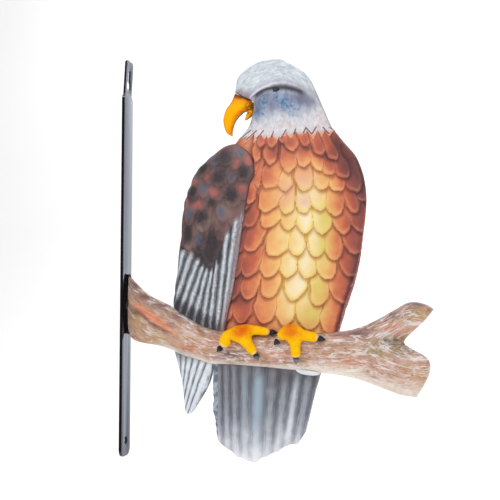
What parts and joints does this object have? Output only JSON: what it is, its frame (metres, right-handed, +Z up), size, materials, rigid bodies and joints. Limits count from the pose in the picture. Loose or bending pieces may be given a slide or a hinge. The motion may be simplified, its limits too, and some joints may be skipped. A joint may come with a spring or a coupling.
{
  "type": "painted sheet steel eagle wall ornament",
  "caption": "Wall-hung eagle ornament of painted pressed sheet steel, perched on a forked branch that is welded to a flat steel wall strap.",
  "frame": {"origin": "on the wall strap's back face, the face that lies on the wall, in the middle of its width and at half the height of the strap with its tab", "axes": "+X out from the wall along the branch, +Z up along the strap, +Y across the thin depth; the two painted sides face -Y and +Y"},
  "size_m": [0.312, 0.0566, 0.4101],
  "materials": {
    "black_enamel": "smooth semi-gloss black enamel",
    "branch_paint": "satin, tan dry-brushed with white, ochre and pink",
    "breast_paint": "satin, yellow to orange and red-brown feathers with brown grooves",
    "head_paint": "satin off-white with blue-grey brush strokes",
    "beak_paint": "satin yellow with orange edges",
    "wing_paint": "satin brown-purple scales above, silver-brushed charcoal feathers below",
    "tail_paint": "satin grey ribs, fading to pale grey at the bottom",
    "pale_paint": "satin pale grey",
    "foot_paint": "satin yellow with orange knuckles",
    "dark_paint": "satin near-black"
  },
  "bodies": {
    "root": {"beak_lower": "beak_paint", "beak_upper": "beak_paint", "branch_back": "branch_paint", "branch_front": "branch_paint", "claw_left_1_back": "dark_paint", "claw_left_1_front": "dark_paint", "claw_left_2_back": "dark_paint", "claw_left_2_front": "dark_paint", "claw_left_3_back": "dark_paint", "claw_left_3_front": "dark_paint", "claw_right_1_back": "dark_paint", "claw_right_1_front": "dark_paint", "claw_right_2_back": "dark_paint", "claw_right_2_front": "dark_paint", "claw_right_3_back": "dark_paint", "claw_right_3_front": "dark_paint", "end_boss": "black_enamel", "eye_back": "dark_paint", "eye_front": "dark_paint", "foot_left_back": "foot_paint", "foot_left_front": "foot_paint", "foot_right_back": "foot_paint", "foot_right_front": "foot_paint", "head_back": "head_paint", "head_front": "head_paint", "tail_back": "tail_paint", "tail_covert_back": "pale_paint", "tail_covert_front": "pale_paint", "tail_front": "tail_paint", "trunk_back": "breast_paint", "trunk_front": "breast_paint", "wall_strap": "black_enamel", "wing_back": "wing_paint", "wing_front": "wing_paint", "wing_tip_back": "wing_paint", "wing_tip_front": "wing_paint"}
  },
  "joints": []
}
